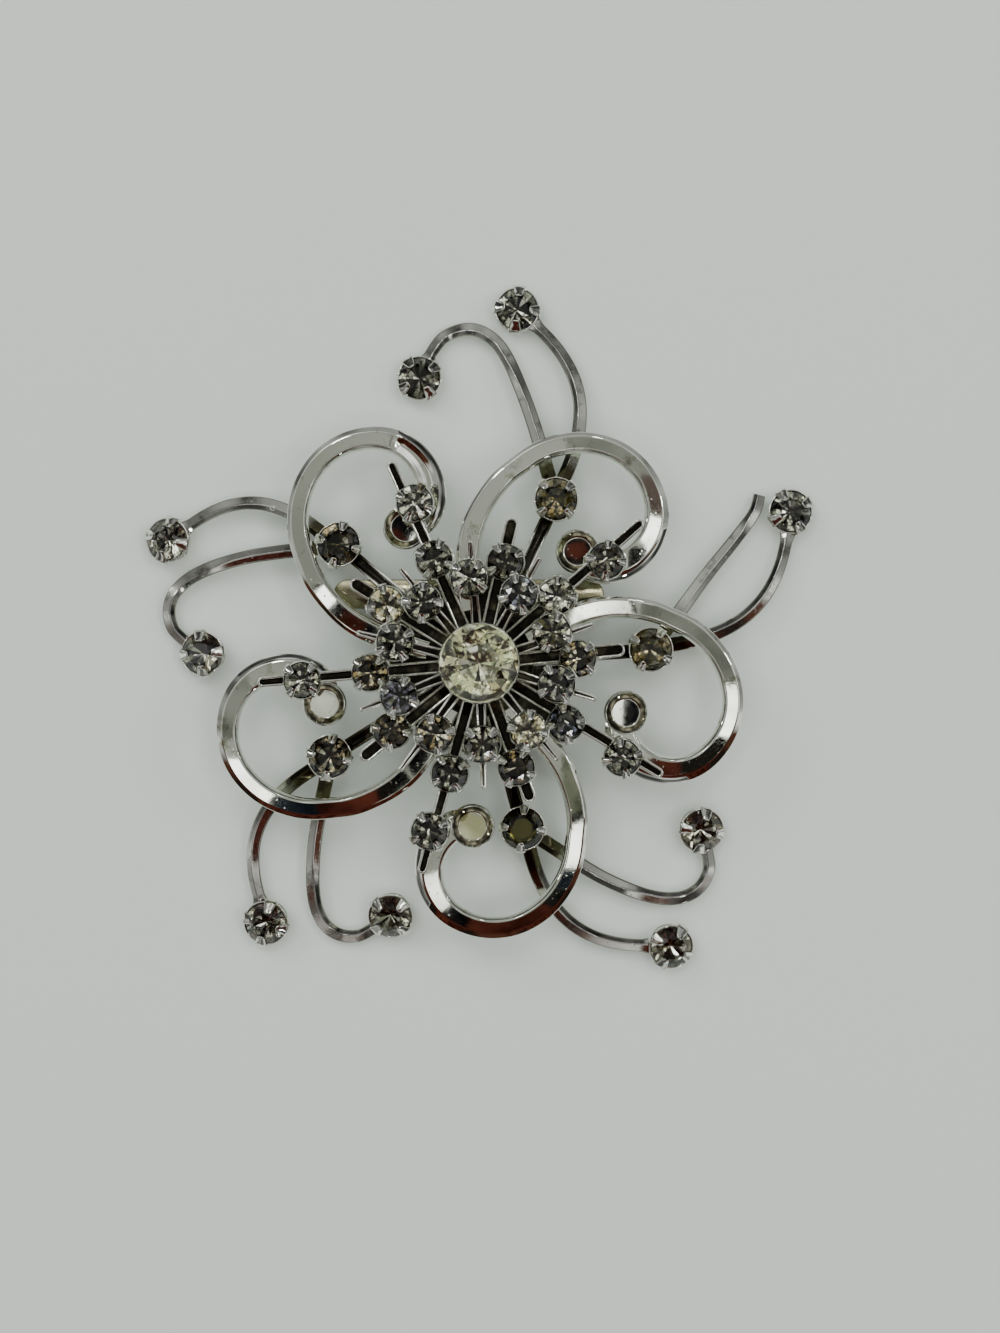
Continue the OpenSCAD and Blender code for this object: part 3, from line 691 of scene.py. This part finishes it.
def buildSpray(number):
    shape = newShape()
    ends = spray["places"][number - 1][:3]
    bowSpread, curlSpread = spray["places"][number - 1][4:]
    distance, angle = ends[0]
    forkZ, endZ = spray["wireAtFork"], spray["wireAtEnd"]
    foot = footRadius(stoneRadius["end"])
    stem = [(spray["bossRadius"] + 0.1, spray["stemHeight"]), (spray["plateRadius"], spray["stemHeight"]),
            (distance - foot - 0.4, forkZ + 0.3), (distance - foot + 0.3, forkZ)]
    side = Vector((-math.sin(math.radians(angle)), math.cos(math.radians(angle)), 0))
    rings = [[polar(d, angle) + up(z) + side * (u * spray["stemWidth"] / 2) + up(v * spray["stemThickness"] / 2)
              for u, v in spray["channel"]] for d, z in stem]
    # the groove along the stem is painted dark as shade
    addRings(shape, rings, lambda j: 1 if j in (7, 8, 9) else 2)
    fork = polar(distance, angle)
    for wire, course in ((1, "bowed"), (2, "snapped" if number == spray["broken"] else "curled")):
        line = polar(*ends[wire]) - fork
        left = Vector((-line.y, line.x, 0))
        rows = [(x, y * (bowSpread if course == "bowed" else mix(1, curlSpread, ease(2 * x - 0.8))))
                for x, y in spray[course]]
        path = [fork + line * x + left * y + up(mix(forkZ, endZ, x)) for x, y in smoothRows(rows, 14)]
        first, last, twist = spray["ridge"][course]
        first, last = spray["ownRidge"].get((number, course), (first, last))
        addWire(shape, path, lambda t: mix(first, last, ease((t - twist) / 0.15 + 0.5)), course != "snapped")
    blister = spray["blister"]
    if number == blister["spray"]:
        addLathe(shape, blister["profile"], 24, 2, shift(blister["at"]) @ rotation("Z", blister["turn"]),
                 blister["squash"])
    addCup(shape, stoneRadius["end"], forkPlace(number), slim=0.8)
    for k, end in enumerate(spray["ends"], 1):
        if end[0] == number:
            addCup(shape, stoneRadius["end"], endPlace(k))
    addPiece(shape, f"spray_{number}_wires", [silver, dark, wirePlating, shadedWireSide], [f"spray_{number}"],
             sharp=75)


for number in range(1, 6):
    buildSpray(number)
print("sprays built")


# stones

stoneKinds = {
    "upper": "clear blue smoky clear straw smoky amber blue clear clear",
    "lower": "clear dim ice amber blue amber clear amber amber straw",
    "spoke": "bright dim clear clear clear",
    "fork": "cognac honey honey olive cognac",
    "end": "bright bright clear clear clear ice ice ice ice"}

addStone("centre_stone", stoneRadius["centre"], centrePlace, "centre", centre["folds"],
         centre["bands"], centre["order"], centre["wobble"])
seats = {"upper": [seatPlace(upperStar, row[0], row[1]) for row in upperStar["rays"]],
         "lower": [seatPlace(lowerStar, row[0], row[1]) for row in lowerStar["rays"]],
         "spoke": [seatPlace(lowerStar, row[4], row[5]) for row in lowerStar["rays"] if len(row) == 6],
         "fork": [forkPlace(k) for k in range(1, 6)],
         "end": [endPlace(k) for k in range(1, 10)]}
for group, places in seats.items():
    small = group in ("upper", "lower", "spoke")
    for k, (place, kind) in enumerate(zip(places, stoneKinds[group].split()), 1):
        bands = cut["flatBands" if kind == "olive" else "bands"]
        addStone(f"{group}_stone_{k}", stoneRadius["ring" if small else "end"], place, kind,
                 bands=bands)
print("stones set")


# back: base plate and pin

back = {"plateHeight": 3.8, "plateThickness": 1.1, "plateRadius": 9.8, "bossRadius": 3.0, "bossTop": 6.9,
        "left": -15.9, "length": 29.4, "width": 3.2, "thickness": 0.7, "y": 7.5,
        "knuckle": 1.8, "catch": 2.2, "pinHeight": 1.8, "pinRadius": 0.425}
shape = newShape()
z, r, b, bossTop = back["plateHeight"], back["plateRadius"], back["bossRadius"], back["bossTop"]
top = z + back["plateThickness"]
addLathe(shape, [(0.01, z), (r - 1.4, z), (r - 1.25, z + 0.08), (r - 1.0, z + 0.08), (r - 0.85, z),
                 (r - 0.15, z), (r, z + 0.15), (r, top - 0.15), (r - 0.15, top)], 96)
# the top of the plate and its boss are painted dark as shade
addLathe(shape, [(r - 0.15, top), (b + 0.1, top), (b, top + 0.1), (b, bossTop - 0.1),
                 (b - 0.1, bossTop), (0.01, bossTop)], 96, 1)
addPiece(shape, "base_disc", [backMetal, dark], ["base_plate"])


def buildPin():
    shape = newShape()
    w, t, y, pinZ = back["width"], back["thickness"], back["y"], back["pinHeight"]
    z = back["plateHeight"] - 0.05 - t
    left, right = back["left"], back["left"] + back["length"]
    outline, heart = roundEnds(Vector((left + w / 2, y, 0)), Vector((right - w / 2, y, 0)), w / 2, w / 2, 17)
    rings = [[mid + (edge - mid) * (w / 2 - inset) / (w / 2) + up(z + h) for edge, mid in zip(outline, heart)]
             for inset, h in ((0.12, 0), (0.03, 0.04), (0, 0.14), (0, t - 0.14), (0.03, t - 0.04), (0.12, t))]
    addRings(shape, rings)
    knuckle, catch = left + back["knuckle"], right - back["catch"]

    def addBlock(x, yMiddle, wide, deep, low):
        # upright block under the bar
        corners = ((-wide, -deep), (wide, -deep), (wide, deep), (-wide, deep))
        addRings(shape, [[Vector((x + u, yMiddle + v, h)) for u, v in corners] for h in (low, z + 0.05)])

    # rolled knuckle, with its two cheeks
    addLathe(shape, [(0.01, -1.1), (0.7, -1.1), (0.8, -1.0), (0.8, 1.0), (0.7, 1.1), (0.01, 1.1)], 32, 0,
             shift((knuckle, y, pinZ)) @ rotation("X", 90))
    for side in (-0.85, 0.85):
        addBlock(knuckle, y + side, 0.7, 0.2, pinZ)
    # pin stem with a ground point
    stem = [(knuckle, 1), (catch + 0.6, 1), (catch + 1.2, 0.7), (catch + 1.6, 0.18)]
    addRings(shape, [[Vector((x, y, pinZ)) + Vector((0, p.x, p.y)) for p in
                      (polar(back["pinRadius"] * s, 360 * k / 20) for k in range(20))] for x, s in stem])
    # rolled catch on its foot
    addLathe(shape, [(0.5, -1), (0.95, -1), (1.05, -0.9), (1.05, 0.9), (0.95, 1), (0.5, 1), (0.45, 0.9),
                     (0.45, -0.9), (0.5, -1)], 36, 0, shift((catch, y, pinZ)) @ rotation("Y", 90))
    addBlock(catch, y, 0.95, 0.45, pinZ + 0.7)
    addPiece(shape, "pin_and_catch", [backMetal], ["pin_back"])


buildPin()
print("back built")


# floor, and cards that only show in reflections

studio = {
    "floor": (0.640, 0.690, 0.640), "floorReach": 3, "roughness": 0.9,
    "axis": (2.19, -0.36),  # the camera's axis, in millimetres from the hub
    "cardHeight": 0.300, "cardStep": 0.0005,  # later cards hang a little lower, in front of the others
    "patchScale": 95, "patchSpread": (0.38, 0.64),
    # darkest and lightest shade of each tone
    "tones": {
        "maroon": ((0.024, 0.006, 0.004), (0.105, 0.027, 0.017)),
        "plum": ((0.040, 0.030, 0.026), (0.125, 0.095, 0.085)),
        "black": ((0.003, 0.003, 0.004), (0.014, 0.013, 0.011)),
        "navy": ((0.005, 0.008, 0.012), (0.026, 0.032, 0.042)),
        "grey": ((0.15, 0.153, 0.135), (0.28, 0.285, 0.26)), "sage": ((0.06, 0.065, 0.042), (0.25, 0.26, 0.20)),
        "moss": ((0.36, 0.36, 0.21), (0.74, 0.74, 0.52)), "pale": ((0.50, 0.52, 0.44), (0.95, 0.98, 0.86)),
        "white": ((1.9, 1.95, 1.85), (4.2, 4.25, 4.1))},
    # what the polished faces mirror, in millimetres from the camera's axis
    "cards": [
        ("maroon", [(-200, -26), (-42, -26), (-24, -22), (-21.5, -32), (-21, -45), (-13, -52), (9, -50),
                    (26, -52), (40, -24), (60, -30), (200, -26), (200, -300), (-200, -300)]),
        ("white", [(-66, -20), (-50, -20), (-46.5, -25), (-51, -31.5), (-66, -31)]),
        ("navy", [(-46.5, -25.2), (-41, -26), (-38, -34), (-50, -36), (-51.5, -31)]),
        ("black", [(-42, 15.2), (-38, 18.8), (-37.4, 17.8), (-41.2, 14.2)]),
        ("white", [(-41.2, 14.2), (-37.4, 17.8), (-34.5, 15), (-38, 10.5)]),
        ("black", [(-38, 10.5), (-34.5, 15), (-32.6, 13), (-36, 8.6)]),
        ("maroon", [(-36, 8.6), (-32.6, 13), (-28, 10), (-31, 4)]),
        ("black", [(-31, 4), (-28, 10), (-20, 2), (-26, -2)]),
        ("black", [(-24.5, 32), (-21, 34), (-17, 32), (-16.5, 27), (-20, 25), (-25, 27)]),
        ("maroon", [(-24, 29), (-22, 29.5), (-19.6, 27.2), (-20.6, 25.6), (-23.6, 26.6)]),
        ("white", [(-19.2, 27.4), (-18, 28.4), (-17.4, 27.4), (-18.6, 26.6)]),
        ("black", [(12.5, 24), (14, 28), (19.5, 28), (20.5, 24), (18, 20.5), (14, 21)]),
        ("maroon", [(14.2, 25.8), (17.8, 26.4), (19, 24.4), (16.6, 22.8), (14.4, 23.6)]),
        ("white", [(30, 33.5), (35.5, 33), (36, 21.5), (31, 21), (31.2, 25), (29.5, 27.5)]),
        ("black", [(27.4, 25.8), (31.2, 25), (31, 21), (27, 21)]),
        ("grey", [(-24, 54), (-17, 51), (-13, 42), (-22.5, 44)]),
        ("grey", [(14, 51), (22, 51), (34, 42), (38, 30), (29, 33), (24, 42), (14, 45)]),
        ("plum", [(30, 41), (36, 39), (39, 31), (30, 33)]),
        ("white", [(16, 14), (27, 15), (28.6, 9), (15, 9)]),
        ("black", [(27, 15), (28.2, 15), (29.8, 9), (28.6, 9)]),
        ("grey", [(29.8, 15.5), (40, 12), (50, 6), (51, -3.6), (42, -3), (36, 5), (29.8, 8.6)]),
        ("grey", [(-66, -2), (-53, -2), (-51, -15), (-66, -16)]),
        ("white", [(46, -4), (58, -4), (58, -15), (44, -15)]),
        ("black", [(36, -22), (44, -14), (60, -18), (46, -26)]),
        ("maroon", [(31, -19.5), (36.5, -17.5), (38, -18.5), (38, -24.5), (34, -25), (31, -22.5)]),
        ("white", [(23.4, -6.2), (25.9, -6.2), (25.7, -13.6), (23.4, -13.6)]),
        ("black", [(25.9, -6.2), (30.5, -6.2), (30.5, -13.6), (25.7, -13.6)]),
        ("pale", [(-41.5, -6), (-38, -5), (-34.2, -6.5), (-33.6, -10.5), (-37, -13), (-41.5, -11.5)]),
        ("black", [(-27, -23.5), (-21, -20), (-18.5, -24), (-25, -29)]),
        ("black", [(-20.4, -19), (-16, -14), (-13.5, -16.5), (-16.8, -22.5), (-18.2, -23)]),
        ("sage", [(13, -16), (20, -16), (22, -28.6), (13, -31.8)]),
        ("maroon", [(-19, -39.5), (-15.3, -39.5), (-15.3, -44.3), (-19, -44.3)]),
        ("black", [(13.5, -31.6), (20.5, -28.6), (20.5, -30.4), (13.5, -33.6)]),
        ("white", [(13, -34), (21, -31.2), (20, -42), (12, -42)]),
        ("navy", [(12, -42), (20, -42), (18, -47), (11, -46)]),
        ("black", [(11, -46), (18, -47), (15, -53), (8, -49)]),
        ("moss", [(-9, -31.5), (-6, -30.6), (-2.6, -32), (-2.2, -36), (-5, -38.2), (-9, -37)]),
        ("white", [(-16, -43.5), (-12, -42.5), (-10, -49), (-13, -52.5), (-17, -49)]),
        ("black", [(-13, -51.5), (-9, -48.5), (-6, -52.5), (-8.5, -58), (-13.5, -56)])]}


def plainSkin(name, color):
    return newSkin(name, {"Base Color": (*color, 1), "Roughness": studio["roughness"], "Specular IOR Level": 0})


def cardSkin(name, low, high):
    skin, tree, shader = plainSkin(name, (0, 0, 0))
    patches = addRange(tree, addNoise(tree, objectPlace(tree), studio["patchScale"], 3), *studio["patchSpread"])
    tree.links.new(blend(tree, patches, low, high), shader.inputs["Emission Color"])
    shader.inputs["Emission Strength"].default_value = 1
    return skin


def flatSheet(name, corners, skin, onlyReflected=False):
    mesh = bpy.data.meshes.new(name)
    mesh.from_pydata(corners, [], [list(range(len(corners)))])
    mesh.materials.append(skin)
    sheet = bpy.data.objects.new(name, mesh)
    bpy.context.scene.collection.objects.link(sheet)
    if onlyReflected:
        sheet.visible_camera = False
        sheet.visible_shadow = False
        sheet.visible_diffuse = False


reach = studio["floorReach"]
flatSheet("floor", [(-reach, -reach, 0), (reach, -reach, 0), (reach, reach, 0), (-reach, reach, 0)],
          plainSkin("pale floor", studio["floor"])[0])
axis = Vector((hub.x + studio["axis"][0], hub.y + studio["axis"][1])) * mm
cardSkins = {tone: cardSkin(tone + " card", *shades) for tone, shades in studio["tones"].items()}
for k, (tone, corners) in enumerate(studio["cards"]):
    level = studio["cardHeight"] - studio["cardStep"] * k
    flatSheet(f"card_{k}", [(axis.x + x * mm, axis.y + y * mm, level) for x, y in corners], cardSkins[tone],
              onlyReflected=True)


# the room round it: pale walls, a dark band, a bright ceiling and a dark red patch to the south

room = {
    # brightness by the height of a direction
    "levels": [(0.0, 0.42), (0.20, 0.46), (0.27, 0.40), (0.33, 0.08), (0.52, 0.06), (0.59, 0.33),
               (0.84, 0.52), (0.87, 1.7), (0.905, 1.7), (0.93, 0.34), (0.97, 0.37)],
    "patchScale": 2.6, "patches": [(0.36, 0.24), (0.44, 0.72), (0.52, 0.98), (0.56, 1.3), (0.60, 2.4)],
    "overhead": [(0.90, 0.0), (0.975, 1.0)], "ceilingScale": 9,
    "ceiling": [(0.36, (0.27, 0.28, 0.25)), (0.50, (0.37, 0.38, 0.345)), (0.62, (0.47, 0.48, 0.44))],
    # the red patch, by height and by how far south a direction points
    "redHeights": [(0.63, 0.0), (0.69, 1.0), (0.96, 1.0), (0.985, 0.0)], "redSouth": [(0.19, 0.0), (0.27, 1.0)],
    "reds": [(0.44, (0.016, 0.011, 0.009)), (0.54, (0.085, 0.032, 0.020))]}

world = bpy.data.worlds.new("studio")
world.use_nodes = True
bpy.context.scene.world = world
tree = world.node_tree
sky = tree.nodes["Background"]
direction = addNode(tree, "ShaderNodeTexCoord").outputs["Generated"]
split = addNode(tree, "ShaderNodeSeparateXYZ", direction)
height = split.outputs["Z"]
patches = addNoise(tree, direction, room["patchScale"], 1.5)
walls = blend(tree, 1.0, addRamp(tree, height, room["levels"]), addRamp(tree, patches, room["patches"]),
              "MULTIPLY")
ceiling = addRamp(tree, addNoise(tree, direction, room["ceilingScale"], 2), room["ceiling"])
plain = blend(tree, addRamp(tree, height, room["overhead"]), walls, ceiling)
south = addNode(tree, "ShaderNodeMath", split.outputs["Y"], -1, operation="MULTIPLY").outputs["Value"]
redPlace = blend(tree, 1.0, addRamp(tree, height, room["redHeights"]), addRamp(tree, south, room["redSouth"]),
                 "MULTIPLY")
tree.links.new(blend(tree, redPlace, plain, addRamp(tree, patches, room["reds"])), sky.inputs["Color"])
sky.inputs["Strength"].default_value = 1.0


# lamps, aimed at the middle of the frame, and the camera

lamps = {
    # place, size, power, colour
    "ceiling": ((0, 0.1, 1.0), (1.3, 1.3), 8.5, (0.99, 1.0, 0.99)),
    "window": ((-0.45, 0.45, 0.50), (0.35, 0.25), 1.6, (0.96, 0.99, 1.0)),
    "side": ((0.55, 0.10, 0.45), (0.20, 0.20), 0.7, (1.0, 0.98, 0.95))}
# small lamps that show as sparks in stones and wires: direction and rise
sparks = {"places": [(75, 58), (20, 66), (160, 36), (-40, 62), (-120, 70), (-62, 33), (120, 72)],
          "reach": 0.6, "size": (0.03, 0.03), "power": 0.09}
view = {"lens": 73.65, "sensor": 36, "height": 0.300, "clipStart": 0.01}


def softLight(name, place, size, power, color=(1, 1, 1), mirrored=False):
    lamp = bpy.data.lights.new(name, "AREA")
    lamp.shape = "RECTANGLE"
    lamp.size, lamp.size_y = size
    lamp.energy = power
    lamp.color = color
    holder = bpy.data.objects.new(name, lamp)
    holder.location = place
    holder.rotation_euler = (Vector((0, 0, 0)) - Vector(place)).to_track_quat("-Z", "Y").to_euler()
    holder.visible_glossy = mirrored
    bpy.context.scene.collection.objects.link(holder)


for name, lamp in lamps.items():
    softLight(name, *lamp)
for k, (angle, rise) in enumerate(sparks["places"]):
    place = polar(sparks["reach"] * math.cos(math.radians(rise)), angle) \
        + up(sparks["reach"] * math.sin(math.radians(rise)))
    softLight(f"spark_{k}", place, sparks["size"], sparks["power"], mirrored=True)

lens = bpy.data.cameras.new("camera")
lens.lens, lens.sensor_width, lens.clip_start = view["lens"], view["sensor"], view["clipStart"]
camera = bpy.data.objects.new("camera", lens)
camera.location = (axis.x, axis.y, view["height"])
bpy.context.scene.collection.objects.link(camera)
bpy.context.scene.camera = camera
print("studio ready")
